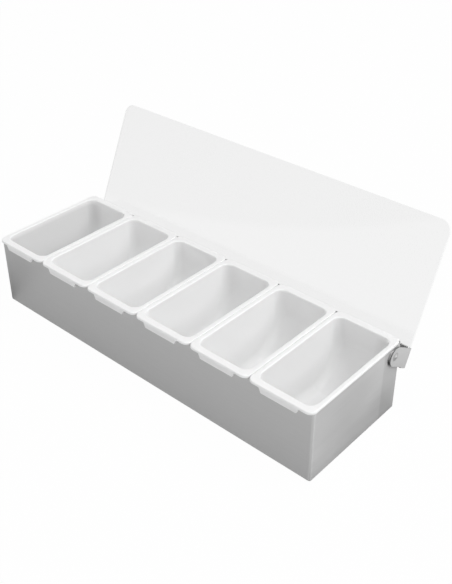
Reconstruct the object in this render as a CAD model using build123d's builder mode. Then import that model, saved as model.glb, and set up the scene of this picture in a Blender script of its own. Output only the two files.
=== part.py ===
from build123d import *
from math import cos, radians, sin, tan
import os

# A condiment caddy: six scooped inserts hang in a steel case under one hinged clear lid, shown open.
# Sizes are in millimetres and degrees. X runs along the caddy, Y from front to rear and Z up.
# The origin is on the counter, under the middle of the steel case.

# Case, folded from steel sheet
CASE_LENGTH = 480.0
CASE_DEPTH = 150.0
CASE_HEIGHT = 88.2
CASE_SHEET = 1.0
CASE_CORNER_RADIUS = 3.0
CASE_BOTTOM_RADIUS = 2.5

# Rubber feet
FOOT_DIAMETER = 14.0
FOOT_HEIGHT = 2.0
FOOT_EDGE_RADIUS = 0.8
FOOT_INSET = 24.0

# Insert rims, which hang on the case's top edge
INSERT_COUNT = 6
RIM_THICKNESS = 3.2
RIM_GAP = 0.3
RIM_END_OVERHANG = 0.25
RIM_REAR_OVERHANG = 0.3
RIM_FRONT_OVERHANG = 4.0
RIM_CORNER_RADIUS = 8.0
RIM_EDGE_RADIUS = 1.3
RIM_UNDER_RADIUS = 0.5
RIM_SIDE_WIDTH = 5.7
RIM_REAR_WIDTH = 9.0
RIM_FRONT_WIDTH = 8.5

# Insert trays
TRAY_WALL = 2.2
TRAY_DEPTH = 74.0
TRAY_SIDE_DRAFT = 2.5
TRAY_END_DRAFT = 2.0
TRAY_CORNER_RADIUS = 10.0
TRAY_FRONT_RADIUS = 14.0
SCOOP_RADIUS = 53.0
SCOOP_END_SLOPE = 14.2
CREASE_RADIUS = 12.0

# Pull lips at the front of the rims
LIP_REACH = 0.3
LIP_DROP = 9.0
LIP_THICKNESS = 2.6
LIP_CURL_RADIUS = 3.0
LIP_EDGE_RADIUS = 0.8
LIP_TOP_WIDTH = 50.6
LIP_BOTTOM_WIDTH = 43.0

# Hinge: the pivots in the case's ends and the folded steel bracket
PIVOT_FROM_REAR = 13.2
PIVOT_BELOW_TOP = 11.0
LID_OPEN_ANGLE = 66.0
BRACKET_SHEET = 1.2
BRACKET_BEND_RADIUS = 1.0
EAR_WIDTH = 21.8
EAR_TIP_FROM_PIVOT = 8.9
EAR_TILT = 8.7
HEM_RETURN = 15.0
HEM_END_RELIEF = 1.0
STOP_CLEARANCE = 0.3
SPACER_THICKNESS = 1.2
SPACER_DIAMETER = 16.0
PIVOT_DIAMETER = 5.0
PIVOT_RUNNING_CLEARANCE = 0.08
RIVET_HOLE_CLEARANCE = 0.1
PIVOT_HEAD_DIAMETER = 10.0
PIVOT_HEAD_HEIGHT = 2.4
PIVOT_TAIL_DIAMETER = 8.4
PIVOT_TAIL_HEIGHT = 1.0

# Clear lid sheet and its rivets
LID_SIDE_OVERHANG = 2.5
LID_TOP_FROM_PIVOT = 146.8
LID_BOTTOM_FROM_PIVOT = 13.0
LID_SHEET = 3.0
LID_BACK_FROM_PIVOT = 31.3
LID_CORNER_RADIUS = 13.0
LID_NOTCH_CLEARANCE = 0.6
LID_EDGE_RADIUS = 0.5
LID_RIVET_COUNT = 7
LID_RIVET_MARGIN = 18.0
LID_RIVET_DIAMETER = 4.0
LID_RIVET_HEAD_DIAMETER = 8.0
LID_RIVET_HEAD_HEIGHT = 1.6
LID_RIVET_HEAD_RADIUS = 1.4

# Places worked out from the sizes
case_top = FOOT_HEIGHT + CASE_HEIGHT
rim_top = case_top + RIM_THICKNESS
rim_rear = CASE_DEPTH / 2 + RIM_REAR_OVERHANG
rim_front = -CASE_DEPTH / 2 - RIM_FRONT_OVERHANG
rim_pitch = (CASE_LENGTH + 2 * RIM_END_OVERHANG + RIM_GAP) / INSERT_COUNT
rim_width = rim_pitch - RIM_GAP
pivot_y = CASE_DEPTH / 2 - PIVOT_FROM_REAR
pivot_z = case_top - PIVOT_BELOW_TOP
ear_inner = CASE_LENGTH / 2 + SPACER_THICKNESS
ear_outer = ear_inner + BRACKET_SHEET
lid_length = CASE_LENGTH + 2 * LID_SIDE_OVERHANG

os.makedirs("parts", exist_ok=True)


def finish(builder, name):
    """Label a finished piece and write it out."""
    builder.part.label = name
    export_step(builder.part, f"parts/{name}.step")


def lid_side_plane(x):
    """The lid's side view at x: local X runs up the lid, local Y out of its front, from the pivot."""
    angle = radians(LID_OPEN_ANGLE)
    return Plane(origin=(x, pivot_y, pivot_z), x_dir=(0, cos(angle), sin(angle)), z_dir=(1, 0, 0))


def lid_face_plane(height):
    """A plane parallel to the lid, height in front of the pivot: local X is X, local Y runs up the lid."""
    angle = radians(LID_OPEN_ANGLE)
    forward = Vector(0, -sin(angle), cos(angle))
    return Plane(origin=Vector(0, pivot_y, pivot_z) + forward * height, x_dir=(1, 0, 0), z_dir=forward)


# Case: an open-topped tray with a rivet hole in each end
with BuildPart() as case:
    with BuildSketch(Plane.XY.offset(FOOT_HEIGHT)):
        RectangleRounded(CASE_LENGTH, CASE_DEPTH, CASE_CORNER_RADIUS)
    extrude(amount=CASE_HEIGHT)
    fillet(case.faces().sort_by(Axis.Z)[0].edges(), radius=CASE_BOTTOM_RADIUS)
    offset(amount=-CASE_SHEET, openings=case.faces().sort_by(Axis.Z)[-1])
    with BuildSketch(Plane.YZ):
        with Locations((pivot_y, pivot_z)):
            Circle(PIVOT_DIAMETER / 2 + RIVET_HOLE_CLEARANCE)
    extrude(amount=CASE_LENGTH / 2, both=True, mode=Mode.SUBTRACT)
finish(case, "case")


# Feet: low rubber discs near the corners of the underside
for end, side_x in (("left", -1), ("right", 1)):
    for edge, side_y in (("front", -1), ("rear", 1)):
        foot_x = side_x * (CASE_LENGTH / 2 - FOOT_INSET)
        foot_y = side_y * (CASE_DEPTH / 2 - FOOT_INSET)
        with BuildPart() as foot:
            with BuildSketch():
                with Locations((foot_x, foot_y)):
                    Circle(FOOT_DIAMETER / 2)
            extrude(amount=FOOT_HEIGHT)
            fillet(foot.edges().sort_by(Axis.Z)[0], radius=FOOT_EDGE_RADIUS)
        finish(foot, f"foot_{edge}_{end}")


def tray_side_view(grow):
    """The tray in side view: steep rear wall, long scoop, soft crease, flat floor and front wall."""
    floor_z = rim_top - TRAY_DEPTH
    above = rim_top + TRAY_WALL
    slope = radians(SCOOP_END_SLOPE)
    lean = radians(TRAY_END_DRAFT)
    crease_centre_z = floor_z + CREASE_RADIUS
    scoop_centre_z = crease_centre_z + (SCOOP_RADIUS - CREASE_RADIUS) * cos(slope)
    wall_foot_z = scoop_centre_z - SCOOP_RADIUS * sin(lean)
    wall_foot_y = rim_rear - RIM_REAR_WIDTH - (rim_top - wall_foot_z) * tan(lean)
    scoop_centre_y = wall_foot_y - SCOOP_RADIUS * cos(lean)
    crease_centre_y = scoop_centre_y + (SCOOP_RADIUS - CREASE_RADIUS) * sin(slope)
    front_y = rim_front + RIM_FRONT_WIDTH
    front_foot_y = front_y + (rim_top - floor_z) * tan(lean)
    with BuildSketch(Plane.YZ) as view:
        with BuildLine():
            scoop = CenterArc(
                (scoop_centre_y, scoop_centre_z),
                SCOOP_RADIUS,
                -TRAY_END_DRAFT,
                TRAY_END_DRAFT - 90 + SCOOP_END_SLOPE,
            )
            crease = CenterArc(
                (crease_centre_y, crease_centre_z),
                CREASE_RADIUS,
                SCOOP_END_SLOPE - 90,
                -SCOOP_END_SLOPE,
            )
            Polyline(
                crease @ 1,
                (front_foot_y, floor_z),
                (front_y - (above - rim_top) * tan(lean), above),
                (rim_rear - RIM_REAR_WIDTH + (above - rim_top) * tan(lean), above),
                scoop @ 0,
            )
        make_face()
        front_foot = view.vertices().sort_by_distance((front_foot_y, floor_z))[0]
        fillet(front_foot, radius=TRAY_FRONT_RADIUS)
        if grow > 0:
            offset(amount=grow)
    return view.sketch


def tray_front_view(grow):
    """The tray in front view: drafted sides, as deep as the side view."""
    half = rim_width / 2 - RIM_SIDE_WIDTH
    above = rim_top + TRAY_WALL
    lean = tan(radians(TRAY_SIDE_DRAFT))
    with BuildSketch(Plane.XZ) as view:
        with BuildLine():
            Polyline(
                (-half - (above - rim_top) * lean, above),
                (half + (above - rim_top) * lean, above),
                (half - rim_top * lean, 0),
                (-half + rim_top * lean, 0),
                close=True,
            )
        make_face()
        if grow > 0:
            offset(amount=grow, kind=Kind.INTERSECTION)
    return view.sketch


def tray_form(grow):
    """The solid of the tray's hollow, or of its outside when it is grown by the wall."""
    with BuildPart() as form:
        extrude(tray_side_view(grow), amount=rim_pitch, both=True)
        extrude(tray_front_view(grow), amount=CASE_DEPTH, both=True, mode=Mode.INTERSECT)
        left_chain = form.faces().sort_by(Axis.X)[0].edges().sort_by(Axis.Z)[:-1]
        right_chain = form.faces().sort_by(Axis.X)[-1].edges().sort_by(Axis.Z)[:-1]
        fillet(left_chain + right_chain, radius=TRAY_CORNER_RADIUS + grow)
    return form


tray_hollow = tray_form(0)
tray_outside = tray_form(TRAY_WALL)

# Lip: a curled apron in front of the rim, narrower towards its lower edge
with BuildPart() as lip:
    with BuildSketch(Plane.YZ) as lip_section:
        lip_front = rim_front - LIP_REACH
        lip_rear = lip_front + LIP_THICKNESS
        lip_low = rim_top - LIP_DROP
        root_rear = rim_front + RIM_FRONT_WIDTH / 2
        root_low = case_top + RIM_THICKNESS / 2
        with BuildLine():
            Polyline(
                (lip_front, lip_low),
                (lip_front, rim_top),
                (root_rear, rim_top),
                (root_rear, root_low),
                (lip_rear, root_low),
                (lip_rear, lip_low),
                close=True,
            )
        make_face()
        curl_corner = lip_section.vertices().sort_by_distance((lip_front, rim_top))[0]
        fillet(curl_corner, radius=LIP_CURL_RADIUS)
        lower_corners = lip_section.vertices().group_by(Axis.Y)[0]
        fillet(lower_corners, radius=LIP_EDGE_RADIUS)
    extrude(amount=rim_width / 2, both=True)
    with BuildSketch(Plane.XZ) as lip_front_view:
        with BuildLine():
            Polyline(
                (-LIP_TOP_WIDTH / 2, rim_top),
                (LIP_TOP_WIDTH / 2, rim_top),
                (LIP_BOTTOM_WIDTH / 2, rim_top - LIP_DROP),
                (-LIP_BOTTOM_WIDTH / 2, rim_top - LIP_DROP),
                close=True,
            )
        make_face()
        fillet(lip_front_view.vertices().group_by(Axis.Y)[0], radius=LIP_THICKNESS)
    extrude(amount=CASE_DEPTH, both=True, mode=Mode.INTERSECT)

# Insert: rim, tray and lip in one moulding, hollowed and softened round its mouth
with BuildPart() as insert:
    with BuildSketch(Plane.XY.offset(case_top)):
        with Locations((0, (rim_front + rim_rear) / 2)):
            RectangleRounded(rim_width, rim_rear - rim_front, RIM_CORNER_RADIUS)
    extrude(amount=RIM_THICKNESS)
    fillet(insert.edges().group_by(Axis.Z)[-1], radius=RIM_EDGE_RADIUS)
    fillet(insert.edges().group_by(Axis.Z)[0], radius=RIM_UNDER_RADIUS)
    add(tray_outside.part)
    split(bisect_by=Plane.XY.offset(rim_top), keep=Keep.BOTTOM)
    add(lip.part)
    add(tray_hollow.part, mode=Mode.SUBTRACT)
    mouth = insert.faces().filter_by(Plane.XY).sort_by(Axis.Z)[-1].inner_wires()[0]
    fillet(mouth.edges(), radius=RIM_EDGE_RADIUS)

for number in range(1, INSERT_COUNT + 1):
    insert_x = (number - (INSERT_COUNT + 1) / 2) * rim_pitch
    with BuildPart() as placed_insert:
        with Locations((insert_x, 0, 0)):
            add(insert.part)
    finish(placed_insert, f"insert_{number}")


# Places on the bracket, in the lid's side view
ear_half = EAR_WIDTH / 2
ear_setback = ear_half - EAR_TIP_FROM_PIVOT
tilt = radians(EAR_TILT)
opened = radians(LID_OPEN_ANGLE)
leaf_outer = -LID_BACK_FROM_PIVOT - 2 * BRACKET_SHEET
ear_front_root = leaf_outer * tan(tilt) + ear_half / cos(tilt)
ear_rear_root = leaf_outer * tan(tilt) - ear_half / cos(tilt)
flange_offset = (ear_half + BRACKET_SHEET) / cos(tilt)
stop_y = CASE_DEPTH / 2 + STOP_CLEARANCE
flange_edge = (stop_y - pivot_y + flange_offset * cos(opened)) / (tan(tilt) * cos(opened) - sin(opened))


def flange_line(across, depth):
    """A point on the rear flange: across its outer face inwards, at depth behind the pivot."""
    return (depth * tan(tilt) - flange_offset + across / cos(tilt), depth)


# Bracket: leaf with a hemmed front edge, rear flange that stops the lid, and an ear at each end
with BuildPart() as hinge_bracket:
    with BuildSketch(lid_side_plane(-ear_outer)) as leaf_section:
        leaf_inner = leaf_outer + BRACKET_SHEET
        outer_corner = flange_line(0, leaf_outer)
        inner_corner = flange_line(BRACKET_SHEET, leaf_inner)
        with BuildLine():
            Polyline(
                flange_line(0, flange_edge),
                outer_corner,
                (ear_front_root, leaf_outer),
                (ear_front_root, leaf_inner),
                inner_corner,
                flange_line(BRACKET_SHEET, flange_edge),
                close=True,
            )
        make_face()
        fillet(leaf_section.vertices().sort_by_distance(inner_corner)[0], radius=BRACKET_BEND_RADIUS)
        outer_bend = BRACKET_BEND_RADIUS + BRACKET_SHEET
        fillet(leaf_section.vertices().sort_by_distance(outer_corner)[0], radius=outer_bend)
    extrude(amount=2 * ear_outer)
    hem_end = ear_inner - HEM_END_RELIEF
    with BuildSketch(lid_side_plane(-hem_end)) as hem_section:
        hem_centre = (ear_front_root, leaf_inner)
        with BuildLine():
            nose = CenterArc(hem_centre, BRACKET_SHEET, -90, 180)
            Polyline(
                nose @ 1,
                (ear_front_root - HEM_RETURN, leaf_inner + BRACKET_SHEET),
                (ear_front_root - HEM_RETURN, leaf_inner),
                hem_centre,
                nose @ 0,
            )
        make_face()
    extrude(amount=2 * hem_end)
    for side in (-1, 1):
        with BuildSketch(lid_side_plane(side * ear_inner)):
            with BuildLine():
                tip_centre = (-ear_setback * sin(tilt), -ear_setback * cos(tilt))
                ear_tip = CenterArc(tip_centre, ear_half, -EAR_TILT, 180)
                Polyline(
                    ear_tip @ 1,
                    (ear_rear_root, leaf_outer),
                    (ear_front_root, leaf_outer),
                    ear_tip @ 0,
                )
            make_face()
            Circle(PIVOT_DIAMETER / 2 + PIVOT_RUNNING_CLEARANCE, mode=Mode.SUBTRACT)
        extrude(amount=side * BRACKET_SHEET)
    out_of_lid = Axis((0, 0, 0), lid_face_plane(0).z_dir)
    end_edges = hinge_bracket.edges().group_by(Axis.X)
    fold_edges = [end_edges[0].sort_by(out_of_lid)[0], end_edges[-1].sort_by(out_of_lid)[0]]
    fillet(fold_edges, radius=BRACKET_BEND_RADIUS)
    with BuildSketch(lid_face_plane(leaf_outer)):
        rivet_spacing = (2 * (ear_inner - LID_RIVET_MARGIN)) / (LID_RIVET_COUNT - 1)
        rivet_height = ear_front_root - HEM_RETURN / 2
        with Locations((0, rivet_height)):
            with GridLocations(rivet_spacing, 1, LID_RIVET_COUNT, 1):
                Circle(LID_RIVET_DIAMETER / 2 + RIVET_HOLE_CLEARANCE)
    extrude(amount=2 * BRACKET_SHEET, mode=Mode.SUBTRACT)
finish(hinge_bracket, "hinge_bracket")

# Lid: one flat clear sheet, notched round the ears, with rounded free corners
with BuildPart() as lid_sheet:
    notch_top = ear_front_root + BRACKET_SHEET + LID_NOTCH_CLEARANCE
    with BuildSketch(lid_face_plane(-LID_BACK_FROM_PIVOT)) as lid_outline:
        with Locations((0, notch_top)):
            Rectangle(lid_length, LID_TOP_FROM_PIVOT - notch_top, align=(Align.CENTER, Align.MIN))
        fillet(lid_outline.vertices().group_by(Axis.Y)[-1], radius=LID_CORNER_RADIUS)
        with Locations((0, -LID_BOTTOM_FROM_PIVOT)):
            Rectangle(
                2 * (ear_inner - LID_NOTCH_CLEARANCE),
                notch_top + LID_BOTTOM_FROM_PIVOT,
                align=(Align.CENTER, Align.MIN),
            )
        with Locations((0, rivet_height)):
            with GridLocations(rivet_spacing, 1, LID_RIVET_COUNT, 1):
                Circle(LID_RIVET_DIAMETER / 2 + RIVET_HOLE_CLEARANCE, mode=Mode.SUBTRACT)
    extrude(amount=LID_SHEET)
    for face in lid_sheet.faces().filter_by(out_of_lid):
        fillet(face.outer_wire().edges(), radius=LID_EDGE_RADIUS)
finish(lid_sheet, "lid_sheet")

# Lid rivets: domed heads on the steel leaf and on the clear sheet
with BuildPart() as lid_rivets:
    for height, amount in (
        (leaf_outer, -LID_RIVET_HEAD_HEIGHT),
        (-LID_BACK_FROM_PIVOT + LID_SHEET, LID_RIVET_HEAD_HEIGHT),
    ):
        with BuildSketch(lid_face_plane(height)):
            with Locations((0, rivet_height)):
                with GridLocations(rivet_spacing, 1, LID_RIVET_COUNT, 1):
                    Circle(LID_RIVET_HEAD_DIAMETER / 2)
        extrude(amount=amount)
    rounded = lid_rivets.edges().group_by(out_of_lid)
    fillet(rounded[0] + rounded[-1], radius=LID_RIVET_HEAD_RADIUS)
    with BuildSketch(lid_face_plane(leaf_outer)):
        with Locations((0, rivet_height)):
            with GridLocations(rivet_spacing, 1, LID_RIVET_COUNT, 1):
                Circle(LID_RIVET_DIAMETER / 2)
    extrude(amount=2 * BRACKET_SHEET + LID_SHEET)
finish(lid_rivets, "lid_rivets")

# Pivots: a spacer holds each ear off the case, and a domed rivet passes through both
for end, side in (("left", -1), ("right", 1)):
    with BuildPart() as pivot_spacer:
        with BuildSketch(Plane.YZ.offset(side * CASE_LENGTH / 2)):
            with Locations((pivot_y, pivot_z)):
                Circle(SPACER_DIAMETER / 2)
                Circle(PIVOT_DIAMETER / 2 + RIVET_HOLE_CLEARANCE, mode=Mode.SUBTRACT)
        extrude(amount=side * SPACER_THICKNESS)
    finish(pivot_spacer, f"pivot_spacer_{end}")

    rivet_place = Plane(
        origin=(side * ear_outer, pivot_y, pivot_z), x_dir=(side, 0, 0), z_dir=(0, -1, 0)
    )
    with BuildPart() as pivot_rivet:
        with BuildSketch(rivet_place):
            inside = CASE_LENGTH / 2 - CASE_SHEET - ear_outer
            shank = PIVOT_DIAMETER / 2
            head = PIVOT_HEAD_DIAMETER / 2
            tail = PIVOT_TAIL_DIAMETER / 2
            with BuildLine():
                dome = RadiusArc(
                    (PIVOT_HEAD_HEIGHT, 0),
                    (0, head),
                    (head**2 + PIVOT_HEAD_HEIGHT**2) / (2 * PIVOT_HEAD_HEIGHT),
                )
                Polyline(
                    dome @ 1,
                    (0, shank),
                    (inside, shank),
                    (inside, tail),
                    (inside - PIVOT_TAIL_HEIGHT, tail),
                    (inside - PIVOT_TAIL_HEIGHT, 0),
                    dome @ 0,
                )
            make_face()
        revolve(axis=Axis(rivet_place.origin, rivet_place.x_dir))
    finish(pivot_rivet, f"pivot_rivet_{end}")
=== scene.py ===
# %% [markdown]
# # A condiment caddy with a hinged clear lid
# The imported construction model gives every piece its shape, size and place. This script gives each
# piece its real finish, sets the caddy on a pale floor, lights it softly and looks at it from the
# right, above and in front. Everything is in metres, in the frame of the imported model.

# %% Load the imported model
from math import cos, pi, radians, sin

import bmesh
import bpy
from mathutils import Matrix, Vector


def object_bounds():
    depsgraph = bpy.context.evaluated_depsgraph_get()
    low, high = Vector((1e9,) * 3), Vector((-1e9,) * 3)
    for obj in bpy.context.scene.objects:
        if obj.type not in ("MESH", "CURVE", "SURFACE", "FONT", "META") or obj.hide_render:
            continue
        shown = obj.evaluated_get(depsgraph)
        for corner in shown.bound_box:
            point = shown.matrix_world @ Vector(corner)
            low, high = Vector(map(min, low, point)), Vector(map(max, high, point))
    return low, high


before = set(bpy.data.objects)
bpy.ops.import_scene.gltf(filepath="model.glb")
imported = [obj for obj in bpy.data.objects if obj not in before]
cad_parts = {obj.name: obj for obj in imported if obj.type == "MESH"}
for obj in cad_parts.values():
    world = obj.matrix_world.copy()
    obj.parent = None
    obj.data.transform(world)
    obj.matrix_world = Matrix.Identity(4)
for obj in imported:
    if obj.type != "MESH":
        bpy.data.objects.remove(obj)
cad_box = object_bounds()
MM = 0.001
print("pieces:", len(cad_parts), "box:", cad_box)

# %% [markdown]
# ## Helpers
# Colours are written as the sRGB hex values that a paint chart or a photograph gives. Shaders work
# in linear light, so one function turns a hex value to linear. A second function adds any node with
# its settings and links, so that each material below reads as a list of what it is made of. Many of
# the values are ramps: they go from one number to another as a place, a direction or a noise passes
# some middle, and a third function writes out the limits of such a ramp.

# %% Helpers for colours, nodes and finishes


def linear(hex_colour):
    """Turn an sRGB hex colour such as "c8c8ca" to linear RGBA."""
    channels = []
    for start in (0, 2, 4):
        value = int(hex_colour[start : start + 2], 16) / 255
        channels.append(value / 12.92 if value <= 0.04045 else ((value + 0.055) / 1.055) ** 2.4)
    return (*channels, 1.0)


def add_node(tree, kind, inputs=None, **settings):
    """Add a node; an input is a number, a colour, a socket to link or a node to link."""
    node = tree.nodes.new(kind)
    for name, value in settings.items():
        setattr(node, name, value)
    for socket, value in (inputs or {}).items():
        if isinstance(value, bpy.types.Node):
            value = value.outputs[0]
        if isinstance(value, bpy.types.NodeSocket):
            tree.links.new(value, node.inputs[socket])
        else:
            node.inputs[socket].default_value = value
    return node


def ramp(value, middle, reach, low, high):
    """The inputs of a ramp that goes from low to high as a value passes middle."""
    return {
        "Value": value,
        "From Min": middle - reach,
        "From Max": middle + reach,
        "To Min": low,
        "To Max": high,
    }


def new_material(name):
    """An empty material and its node tree."""
    material = bpy.data.materials.new(name)
    material.use_nodes = True
    material.node_tree.nodes.clear()
    return material, material.node_tree


def finish_nodes(material, names):
    """Give the named construction pieces a finish."""
    for name in names:
        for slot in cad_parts[name].material_slots:
            slot.material = material
    print(material.name, "on", len(names), "pieces")


# %% [markdown]
# ## Brushed stainless steel
# The case and the hinge bracket are folded from 304 stainless sheet with a No. 4 finish: a belt
# draws fine parallel scratches along the length. They leave a reflection whole along them and
# spread it across them, so the steel looks satin, and each wall mirrors a tall soft slice of the
# room. The scratches themselves are noise stretched along the sheet. Real ones are about 0.1 mm
# apart, which is too fine to show, so they are drawn 0.9 mm apart.

# %% Scratches on brushed sheet
SCRATCH_SPACING = 0.9 * MM
SCRATCH_LENGTH = 60 * MM
SCRATCH_DETAIL = 3.0
END_FACING = 0.7


def sheet_scratches(tree, place):
    """Noise stretched along X, or along Y on the ends, and 1 where a face is on an end."""
    fine = 1 / SCRATCH_SPACING
    coarse = 1 / SCRATCH_LENGTH
    drawn = []
    for scale in ((coarse, fine, fine), (fine, coarse, fine)):
        stretch = {"Vector": place.outputs["Object"], "Scale": scale}
        stretched = add_node(tree, "ShaderNodeMapping", stretch)
        noise = {"Vector": stretched, "Scale": 1.0, "Detail": SCRATCH_DETAIL}
        drawn.append(add_node(tree, "ShaderNodeTexNoise", noise))
    facing = add_node(tree, "ShaderNodeSeparateXYZ", {"Vector": place.outputs["Normal"]})
    sideways = add_node(tree, "ShaderNodeMath", {0: facing}, operation="ABSOLUTE")
    limit = {0: sideways, 1: END_FACING}
    on_end = add_node(tree, "ShaderNodeMath", limit, operation="GREATER_THAN")
    choice = {0: on_end, 2: drawn[0], 3: drawn[1]}
    return add_node(tree, "ShaderNodeMix", choice, data_type="FLOAT"), on_end


print("scratches:", SCRATCH_SPACING / MM, "mm apart,", SCRATCH_LENGTH / MM, "mm long")

# %% [markdown]
# ### Darker ends, painted shade at the corners and cut edges
# The case's rear corners are welded. The last 30 mm of each end is a shade darker, with a straight
# edge, and a line of painted shade runs along the rear corners. The ears' sheared edges are dull and
# carry painted shade for the shadow in the gap by the case, and the rim of each pivot rivet carries
# painted shade for the shadow round its head, so they are darker than the faces beside them.

# %% Shades for corners and edges
# Each end is a shade darker from this y to the rear corner.
DARK_BAND_FROM = 45 * MM
DARK_BAND_BLUR = 1.5 * MM
DARK_BAND_SHADE = 0.89
# Painted shade: a dark line along the rear corners.
CORNER_SHADE_FROM = 73.9 * MM
CORNER_SHADE_BLUR = 0.4 * MM
PAINTED_CORNER_SHADE = 0.6
EAR_FROM = 241.0 * MM
EAR_BLUR = 0.2 * MM
SIDE_FACING = 0.72
SIDE_BLUR = 0.1
# Painted shade on the ears' cut edges and round the pivot rivets' heads.
PAINTED_EDGE_SHADE = 0.3


def whole_sheet(tree, place, on_end):
    """No corners or edges to pick out."""
    return 1.0


def darker_band_and_corner_shade(tree, place, on_end):
    """The case's shade: a little less on its ends by the rear corners, and painted shade along them.
    """
    spot = add_node(tree, "ShaderNodeSeparateXYZ", {"Vector": place.outputs["Object"]})
    along = spot.outputs["Y"]
    # A shade darker on the last 30 mm of each end, with a straight edge.
    band_edge = ramp(along, DARK_BAND_FROM, DARK_BAND_BLUR, 1.0, DARK_BAND_SHADE)
    darker_band = add_node(tree, "ShaderNodeMapRange", band_edge)
    on_ends = add_node(tree, "ShaderNodeMix", {0: on_end, 2: 1.0, 3: darker_band}, data_type="FLOAT")
    # Painted shade along the rear corners.
    corner_line = ramp(along, CORNER_SHADE_FROM, CORNER_SHADE_BLUR, 1.0, PAINTED_CORNER_SHADE)
    painted_corner_shade = add_node(tree, "ShaderNodeMapRange", corner_line)
    return add_node(tree, "ShaderNodeMath", {0: on_ends, 1: painted_corner_shade}, operation="MULTIPLY")


def cut_edge(tree, place):
    """0 on the flat of an ear or a rivet's head, and 1 on its edge."""
    facing = add_node(tree, "ShaderNodeSeparateXYZ", {"Vector": place.outputs["Normal"]})
    sideways = add_node(tree, "ShaderNodeMath", {0: facing}, operation="ABSOLUTE")
    return add_node(tree, "ShaderNodeMapRange", ramp(sideways, SIDE_FACING, SIDE_BLUR, 1.0, 0.0))


def ears_painted_edge_shade(tree, place, on_end):
    """The bracket's shade: painted shade on the cut edges of its two ears, for the gap's shadow."""
    spot = add_node(tree, "ShaderNodeSeparateXYZ", {"Vector": place.outputs["Object"]})
    outwards = add_node(tree, "ShaderNodeMath", {0: spot}, operation="ABSOLUTE")
    on_ear = add_node(tree, "ShaderNodeMapRange", ramp(outwards, EAR_FROM, EAR_BLUR, 0.0, 1.0))
    # Painted shade on the ears' cut edges, for the shadow in the gap between each ear and the case.
    both = {0: on_ear, 1: cut_edge(tree, place)}
    painted_edge = add_node(tree, "ShaderNodeMath", both, operation="MULTIPLY")
    shades = {0: painted_edge, 2: 1.0, 3: PAINTED_EDGE_SHADE}
    return add_node(tree, "ShaderNodeMix", shades, data_type="FLOAT")


def rivet_painted_rim_shade(tree, place, on_end):
    """The pivot rivet's shade: painted shade round the rim of its head."""
    # Painted shade round the rim of the rivet's head, for the shadow there.
    shades = {0: cut_edge(tree, place), 2: 1.0, 3: PAINTED_EDGE_SHADE}
    return add_node(tree, "ShaderNodeMix", shades, data_type="FLOAT")


# The darker band on each end starts at this y.
print("ends brushed again from y =", DARK_BAND_FROM / MM, "mm")

# %% [markdown]
# ### The steel itself
# Each steel starts from one colour and one roughness. The scratches and slow smears vary both a
# little. The case's darker band, the painted shade along its rear corners and the painted shade on
# the ears' cut edges and the pivot rivets' rims multiply the colour. The shader's anisotropy
# spreads a reflection one way. Its tangent runs level round the case, and a quarter turn puts the
# spread across it. Rivets are formed, not brushed, so theirs is 0. The photographed pivot rivet shows
# no bright point, so the pivot rivets are the dullest.

# %% Brushed stainless steel
SMEAR_SIZE = 90 * MM
SMEAR_DETAIL = 2.0
NOISE_MIDDLE = 0.5
NOISE_REACH = 0.2
WORN_LOW = 0.97
WORN_HIGH = 1.02
GRAIN = 0.03
HAZE = 0.02
SCRATCH_DEPTH = 0.04 * MM
SCRATCH_BUMP = 0.1
QUARTER_TURN = 0.25


def brushed_steel(name, colour, roughness, anisotropy, shade_of=whole_sheet):
    """Stainless sheet brushed along X, and along Y where it faces X."""
    material, tree = new_material(name)
    place = add_node(tree, "ShaderNodeTexCoord")
    scratches, on_end = sheet_scratches(tree, place)
    smearing = {
        "Vector": place.outputs["Object"],
        "Scale": 1 / SMEAR_SIZE,
        "Detail": SMEAR_DETAIL,
    }
    smears = add_node(tree, "ShaderNodeTexNoise", smearing)
    tone = shade_of(tree, place, on_end)
    for noise in (scratches, smears):
        wear = ramp(noise, NOISE_MIDDLE, NOISE_REACH, WORN_LOW, WORN_HIGH)
        worn = add_node(tree, "ShaderNodeMapRange", wear)
        tone = add_node(tree, "ShaderNodeMath", {0: worn, 1: tone}, operation="MULTIPLY")
    paint = {0: linear(colour)[:3], "Scale": tone}
    tinted = add_node(tree, "ShaderNodeVectorMath", paint, operation="SCALE")
    fine = ramp(scratches, NOISE_MIDDLE, NOISE_REACH, roughness - GRAIN, roughness + GRAIN)
    slow = ramp(smears, NOISE_MIDDLE, NOISE_REACH, -HAZE, HAZE)
    grain = add_node(tree, "ShaderNodeMapRange", fine)
    haze = add_node(tree, "ShaderNodeMapRange", slow)
    rough = add_node(tree, "ShaderNodeMath", {0: grain, 1: haze}, operation="ADD")
    relief = {"Height": scratches, "Strength": SCRATCH_BUMP, "Distance": SCRATCH_DEPTH}
    surface = {
        "Base Color": tinted,
        "Metallic": 1.0,
        "Roughness": rough,
        "Anisotropic": anisotropy,
        "Anisotropic Rotation": QUARTER_TURN,
        "Tangent": add_node(tree, "ShaderNodeTangent", direction_type="RADIAL", axis="Z"),
        "Normal": add_node(tree, "ShaderNodeBump", relief),
    }
    steel = add_node(tree, "ShaderNodeBsdfPrincipled", surface)
    add_node(tree, "ShaderNodeOutputMaterial", {"Surface": steel})
    return material


case_steel = brushed_steel("stainless_no4_case", "cecece", 0.46, 0.8, darker_band_and_corner_shade)
bracket_steel = brushed_steel("stainless_no4_bracket", "d4d4d4", 0.4, 0.7, ears_painted_edge_shade)
pivot_steel = brushed_steel("stainless_rivet_pivot", "b8b8b8", 0.6, 0.0, rivet_painted_rim_shade)
rivet_steel = brushed_steel("stainless_rivet_bright", "cacaca", 0.22, 0.0)
finish_nodes(case_steel, ["case"])
finish_nodes(bracket_steel, ["hinge_bracket"])
finish_nodes(pivot_steel, ["pivot_rivet_left", "pivot_rivet_right"])
finish_nodes(rivet_steel, ["lid_rivets", "pivot_spacer_left", "pivot_spacer_right"])

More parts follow.
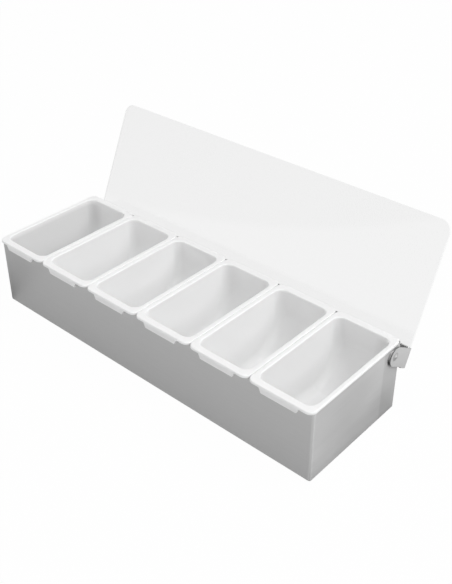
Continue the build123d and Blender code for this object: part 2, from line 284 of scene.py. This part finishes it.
# %% [markdown]
# ## Moulded white plastic
# The six inserts are injection moulded in white ABS. The tool's polish gives an even satin skin
# with a faint orange peel, and the plastic is a little cloudy, so light enters thin edges and
# softens them. Where an outer wall stands against the steel of the case's end, less light comes
# back through it than through two white walls side by side, so that wall is a shade deeper up to
# the rim.

# %% Moulded white ABS
PEEL_SIZE = 1.6 * MM
PEEL_DETAIL = 1.0
PEEL_DEPTH = 0.04 * MM
PEEL_BUMP = 0.06
CLOUD_SIZE = 40 * MM
CLOUD_DETAIL = 2.0
CLOUD_HAZE = 0.04
PLASTIC_IOR = 1.53
GLOW_DEPTH = 3 * MM
BACKED_FROM = 222 * MM
BACKED_BLUR = 8 * MM
BACKED_BELOW = 88 * MM
RIM_BLUR = 2 * MM
BACKED_SHADE = 0.84


def even_skin(tree, place):
    """The same shade all over."""
    return 1.0


def backed_by_steel(tree, place):
    """1 for the plastic, and less on the walls against the case's two ends."""
    spot = add_node(tree, "ShaderNodeSeparateXYZ", {"Vector": place.outputs["Object"]})
    outwards = add_node(tree, "ShaderNodeMath", {0: spot.outputs["X"]}, operation="ABSOLUTE")
    up_to_rim = ramp(spot.outputs["Z"], BACKED_BELOW, RIM_BLUR, BACKED_SHADE, 1.0)
    below_rim = add_node(tree, "ShaderNodeMapRange", up_to_rim)
    to_the_end = ramp(outwards, BACKED_FROM, BACKED_BLUR, 0.0, 1.0)
    by_the_end = add_node(tree, "ShaderNodeMapRange", to_the_end)
    shades = {0: by_the_end, 2: 1.0, 3: below_rim}
    return add_node(tree, "ShaderNodeMix", shades, data_type="FLOAT")


def moulded_plastic(name, colour, roughness, depth_share, shade_of=even_skin):
    """Satin moulded plastic with a faint orange peel."""
    material, tree = new_material(name)
    place = add_node(tree, "ShaderNodeTexCoord")
    there = place.outputs["Object"]
    peeling = {"Vector": there, "Scale": 1 / PEEL_SIZE, "Detail": PEEL_DETAIL}
    clouding = {"Vector": there, "Scale": 1 / CLOUD_SIZE, "Detail": CLOUD_DETAIL}
    peel = add_node(tree, "ShaderNodeTexNoise", peeling)
    cloud = add_node(tree, "ShaderNodeTexNoise", clouding)
    haze = (roughness - CLOUD_HAZE, roughness + CLOUD_HAZE)
    satin = ramp(cloud, NOISE_MIDDLE, NOISE_REACH, *haze)
    relief = {"Height": peel, "Strength": PEEL_BUMP, "Distance": PEEL_DEPTH}
    paint = {0: linear(colour)[:3], "Scale": shade_of(tree, place)}
    surface = {
        "Base Color": add_node(tree, "ShaderNodeVectorMath", paint, operation="SCALE"),
        "Roughness": add_node(tree, "ShaderNodeMapRange", satin),
        "IOR": PLASTIC_IOR,
        "Subsurface Weight": depth_share,
        "Subsurface Radius": (1.0, 1.0, 1.0),
        "Subsurface Scale": GLOW_DEPTH,
        "Normal": add_node(tree, "ShaderNodeBump", relief),
    }
    plastic = add_node(tree, "ShaderNodeBsdfPrincipled", surface)
    add_node(tree, "ShaderNodeOutputMaterial", {"Surface": plastic})
    return material


white_plastic = moulded_plastic("abs_white_satin", "f3f3f3", 0.54, 0.5, backed_by_steel)
inserts = sorted(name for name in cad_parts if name.startswith("insert_"))
finish_nodes(white_plastic, inserts)

# %% [markdown]
# ## Rubber feet
# The feet are moulded in black rubber. Its dull skin spreads what it mirrors so far that they read
# as plain dark spots under the case. The same recipe serves, with no light inside it.

# %% Black rubber
black_rubber = moulded_plastic("rubber_black_moulded", "1b1b1b", 0.7, 0.0)
feet = [f"foot_{edge}_{end}" for edge in ("front", "rear") for end in ("left", "right")]
finish_nodes(black_rubber, feet)

# %% [markdown]
# ## Clear polycarbonate
# The lid is a flat sheet of clear polycarbonate with polished faces and the faint waviness of
# extruded sheet. The plain plastic has an IOR of 1.585, but this sheet mirrors the rims that stand
# before it much less than that would, as one with a thin hard coat does, so its IOR is matched to
# that. A clear sheet gathers light between its faces and lets it out at its sawn edges. Here that
# light is painted on as a glow of the dull edges themselves, so they don't show as dark lines. Lamp
# light and scattered light go straight through, which a path tracer would otherwise stop at a
# refracting sheet.

# %% Clear polycarbonate sheet
WAVE_SIZE = 70 * MM
WAVE_DEPTH = 0.05 * MM
WAVE_BUMP = 0.1
POLISH = (0.01, 0.03)
COATED_IOR = 1.33
SAWN_ROUGHNESS = 0.8
# Painted light: how strongly the sawn edges glow by themselves.
PAINTED_EDGE_GLOW = 0.75
LID_LEAN = radians(24)
LID_FACING = (0.0, -cos(LID_LEAN), sin(LID_LEAN))
FACE_LIMIT = 0.995


def sheet_edge(tree, place):
    """1 on the sheet's narrow edges and 0 on its two faces."""
    square_on = {0: place.outputs["Normal"], 1: LID_FACING}
    facing = add_node(tree, "ShaderNodeVectorMath", square_on, operation="DOT_PRODUCT")
    either_way = {0: facing.outputs["Value"]}
    on_face = add_node(tree, "ShaderNodeMath", either_way, operation="ABSOLUTE")
    return add_node(tree, "ShaderNodeMath", {0: on_face, 1: FACE_LIMIT}, operation="LESS_THAN")


def clear_sheet(name, colour, edge_colour):
    """Clear polished plastic sheet with a slow waviness and a painted glow on its edges."""
    material, tree = new_material(name)
    place = add_node(tree, "ShaderNodeTexCoord")
    rolling = {"Vector": place.outputs["Object"], "Scale": 1 / WAVE_SIZE, "Detail": 0.0}
    waves = add_node(tree, "ShaderNodeTexNoise", rolling)
    relief = {"Height": waves, "Strength": WAVE_BUMP, "Distance": WAVE_DEPTH}
    gloss = ramp(waves, NOISE_MIDDLE, NOISE_REACH, *POLISH)
    polished = {
        "Base Color": linear(colour),
        "Roughness": add_node(tree, "ShaderNodeMapRange", gloss),
        "IOR": COATED_IOR,
        "Transmission Weight": 1.0,
        "Normal": add_node(tree, "ShaderNodeBump", relief),
    }
    # Painted light: the sawn edges glow by themselves.
    sawn = {
        "Base Color": linear(edge_colour),
        "Roughness": SAWN_ROUGHNESS,
        "Emission Color": linear("ffffff"),
        "Emission Strength": PAINTED_EDGE_GLOW,
    }
    faces = add_node(tree, "ShaderNodeBsdfPrincipled", polished)
    edges = add_node(tree, "ShaderNodeBsdfPrincipled", sawn)
    whole = {0: sheet_edge(tree, place), 1: faces, 2: edges}
    sheet = add_node(tree, "ShaderNodeMixShader", whole)
    ray = add_node(tree, "ShaderNodeLightPath").outputs
    lighting = {0: ray["Is Shadow Ray"], 1: ray["Is Diffuse Ray"]}
    passing = add_node(tree, "ShaderNodeMath", lighting, operation="MAXIMUM")
    through = add_node(tree, "ShaderNodeBsdfTransparent", {"Color": linear(colour)})
    lit = add_node(tree, "ShaderNodeMixShader", {0: passing, 1: sheet, 2: through})
    add_node(tree, "ShaderNodeOutputMaterial", {"Surface": lit})
    return material


clear_plastic = clear_sheet("polycarbonate_clear", "f3f3f3", "6a6a6a")
finish_nodes(clear_plastic, ["lid_sheet"])

# %% [markdown]
# ## Floor
# The floor is pale paper, one large square made by a grid operator. To camera, mirror and
# clear-sheet rays it also glows, so that it reads as a white background and still holds the
# caddy's soft shadow. To mirror rays the glow is dim beside the caddy, most of all off its ends,
# and grows with the distance from it, so the steel walls darken softly towards their feet.

# %% Floor
FLOOR_SIZE = 12.0
floor_level = cad_box[0][2]
floor_mesh = bpy.data.meshes.new("floor")
shape = bmesh.new()
bmesh.ops.create_grid(shape, x_segments=1, y_segments=1, size=FLOOR_SIZE / 2)
bmesh.ops.translate(shape, verts=shape.verts, vec=(0, 0, floor_level))
shape.to_mesh(floor_mesh)
shape.free()
floor = bpy.data.objects.new("floor", floor_mesh)
bpy.context.scene.collection.objects.link(floor)
print("floor:", FLOOR_SIZE, "m wide at z =", floor_level)

# %% [markdown]
# ### White paper
# The glow's strength is worked out from the place on the floor. The caddy's footprint is taken
# from it first, so that what is left points straight out from the caddy's sides, and its length is
# the distance from them.

# %% White paper
GLOW_SEEN = 0.98
GLOW_MIRRORED = 0.9
GLOW_BESIDE_FRONT = 0.65
GLOW_BESIDE_END = 0.2
GLOW_REACH = 0.24
CADDY_HALF = (0.24, 0.075, 0.0)
END_SHARE = 0.5
END_BLUR = 0.3

paper, tree = new_material("floor_white_paper")
matt = add_node(tree, "ShaderNodeBsdfDiffuse", {"Color": linear("d8d8d8")})
ray = add_node(tree, "ShaderNodeLightPath").outputs
plain = {0: ray["Is Camera Ray"], 1: ray["Is Transmission Ray"]}
seen = add_node(tree, "ShaderNodeMath", plain, operation="MAXIMUM")
out = add_node(tree, "ShaderNodeTexCoord").outputs["Object"]
for operation, other in (
    ("ABSOLUTE", CADDY_HALF),
    ("SUBTRACT", CADDY_HALF),
    ("MAXIMUM", (0.0, 0.0, 0.0)),
):
    out = add_node(tree, "ShaderNodeVectorMath", {0: out, 1: other}, operation=operation)
away = add_node(tree, "ShaderNodeVectorMath", {0: out}, operation="LENGTH").outputs["Value"]
way_out = add_node(tree, "ShaderNodeVectorMath", {0: out}, operation="NORMALIZE")
off_end = add_node(tree, "ShaderNodeSeparateXYZ", {"Vector": way_out})
near = ramp(off_end, END_SHARE, END_BLUR, GLOW_BESIDE_FRONT, GLOW_BESIDE_END)
beside = add_node(tree, "ShaderNodeMapRange", near)
far = ramp(away, GLOW_REACH / 2, GLOW_REACH / 2, beside, 1.0)
mirrored_strength = add_node(tree, "ShaderNodeMapRange", far)
strongest = {0: mirrored_strength, 1: seen}
strength = add_node(tree, "ShaderNodeMath", strongest, operation="MAXIMUM")
glow = add_node(tree, "ShaderNodeEmission", {"Color": linear("ffffff"), "Strength": strength})
to_eye = add_node(tree, "ShaderNodeMath", {0: seen, 1: GLOW_SEEN}, operation="MULTIPLY")
mirror_share = {0: ray["Is Glossy Ray"], 1: GLOW_MIRRORED}
to_mirror = add_node(tree, "ShaderNodeMath", mirror_share, operation="MULTIPLY")
share = add_node(tree, "ShaderNodeMath", {0: to_eye, 1: to_mirror}, operation="MAXIMUM")
surface = add_node(tree, "ShaderNodeMixShader", {0: share, 1: matt, 2: glow})
add_node(tree, "ShaderNodeOutputMaterial", {"Surface": surface})
floor_mesh.materials.append(paper)
print("paper:", paper.name, "glows fully from", GLOW_REACH, "m away")

# %% [markdown]
# ## Surroundings
# To camera and clear-sheet rays the world is white. To mirror rays it is brightest at the right
# behind and dims towards the left in front, where one round grey screen stands high. That keeps the
# steel's front darker than its end and gives the lid's upper part its slightly deeper tone, with a
# soft curved edge. To all other rays it is a plain grey that lights the caddy gently.

# %% World
DIM_TOWARDS = (-0.707, -0.707, 0.0)
DIM_TONE = 0.9
BRIGHT_TONE = 1.43
SCREEN_TOWARDS = (-0.597, -0.429, 0.678)
SCREEN_EDGE = 0.791
SCREEN_BLUR = 0.003
SCREEN_TONE = 0.05
AMBIENT = 0.45
WHITE = linear("ffffff")

world = bpy.data.worlds.new("studio")
bpy.context.scene.world = world
world.use_nodes = True
tree = world.node_tree
tree.nodes.clear()
towards = add_node(tree, "ShaderNodeTexCoord").outputs["Generated"]
dim_way = {0: towards, 1: DIM_TOWARDS}
dim_side = add_node(tree, "ShaderNodeVectorMath", dim_way, operation="DOT_PRODUCT")
dimming = ramp(dim_side.outputs["Value"], 0.0, 1.0, BRIGHT_TONE, DIM_TONE)
screen_way = {0: towards, 1: SCREEN_TOWARDS}
screen_side = add_node(tree, "ShaderNodeVectorMath", screen_way, operation="DOT_PRODUCT")
screening = ramp(screen_side.outputs["Value"], SCREEN_EDGE, SCREEN_BLUR, 1.0, SCREEN_TONE)
dimmed = add_node(tree, "ShaderNodeMapRange", dimming)
screened = add_node(tree, "ShaderNodeMapRange", screening)
room_tone = add_node(tree, "ShaderNodeMath", {0: dimmed, 1: screened}, operation="MULTIPLY")
ambient = add_node(tree, "ShaderNodeBackground", {"Color": WHITE, "Strength": AMBIENT})
backdrop = add_node(tree, "ShaderNodeBackground", {"Color": WHITE, "Strength": 1.0})
room = add_node(tree, "ShaderNodeBackground", {"Color": WHITE, "Strength": room_tone})
ray = add_node(tree, "ShaderNodeLightPath").outputs
mirrored = {0: ray["Is Glossy Ray"], 1: ambient, 2: room}
unseen = add_node(tree, "ShaderNodeMixShader", mirrored)
plain = {0: ray["Is Camera Ray"], 1: ray["Is Transmission Ray"]}
seen = add_node(tree, "ShaderNodeMath", plain, operation="MAXIMUM")
surroundings = add_node(tree, "ShaderNodeMixShader", {0: seen, 1: unseen, 2: backdrop})
add_node(tree, "ShaderNodeOutputWorld", {"Surface": surroundings})
print("world:", world.name, "ambient", AMBIENT)

# %% [markdown]
# ## Lamps
# A large soft lamp, high on the right, lights the inserts' left walls and leaves their rear walls
# half shaded. A weaker one in front opens the shadows under the rims. Clear-sheet rays don't see
# either, because the white room is what shows through the lid.

# %% Lamps
CADDY_MIDDLE = Vector((0, 0, 50 * MM))


def soft_lamp(name, place, size, power, mirrored):
    """A square lamp at a place, aimed at the caddy, that steel and plastic may mirror."""
    light = bpy.data.lights.new(name, "AREA")
    light.shape = "SQUARE"
    light.size = size
    light.energy = power
    lamp = bpy.data.objects.new(name, light)
    lamp.location = place
    lamp.visible_glossy = mirrored
    lamp.visible_transmission = False
    aim = CADDY_MIDDLE - Vector(place)
    lamp.rotation_euler = aim.to_track_quat("-Z", "Y").to_euler()
    bpy.context.scene.collection.objects.link(lamp)
    print(name, power, "W at", place)


soft_lamp("lamp_key", (2.6, 0.5, 3.4), 4.0, 143, True)
soft_lamp("lamp_front", (-1.4, -2.6, 1.6), 1.8, 16, False)

# %% [markdown]
# ## Camera
# The camera was fitted to the photograph's straight edges. It looks down at the front right corner
# from about a metre away. Its picture centre lies a little above the lens axis, so it has a small
# shift.

# %% Camera
IMAGE_WIDTH = 452
IMAGE_HEIGHT = 584
FOCAL_PIXELS = 882.14
CENTRE_PIXELS = (223.91, 261.62)
CAMERA_PLACE = (589.89 * MM, -588.57 * MM, 648.24 * MM)
CAMERA_AZIMUTH = 41.954
CAMERA_ELEVATION = 32.255
CAMERA_ROLL = -0.277
SENSOR = 24.0

camera_data = bpy.data.cameras.new("camera")
camera_data.sensor_fit = "VERTICAL"
camera_data.sensor_height = SENSOR
camera_data.lens = FOCAL_PIXELS / IMAGE_HEIGHT * SENSOR
camera_data.shift_x = (IMAGE_WIDTH / 2 - CENTRE_PIXELS[0]) / IMAGE_HEIGHT
camera_data.shift_y = (CENTRE_PIXELS[1] - IMAGE_HEIGHT / 2) / IMAGE_HEIGHT
camera = bpy.data.objects.new("camera", camera_data)
turn = Matrix.Rotation(radians(CAMERA_AZIMUTH), 4, "Z")
tip = Matrix.Rotation(pi / 2 - radians(CAMERA_ELEVATION), 4, "X")
roll = Matrix.Rotation(radians(CAMERA_ROLL), 4, "Z")
camera.matrix_world = Matrix.Translation(CAMERA_PLACE) @ turn @ tip @ roll
bpy.context.scene.collection.objects.link(camera)
bpy.context.scene.camera = camera
bpy.context.scene.view_settings.view_transform = "Standard"
print("lens:", round(camera_data.lens, 2), "mm at", CAMERA_PLACE)
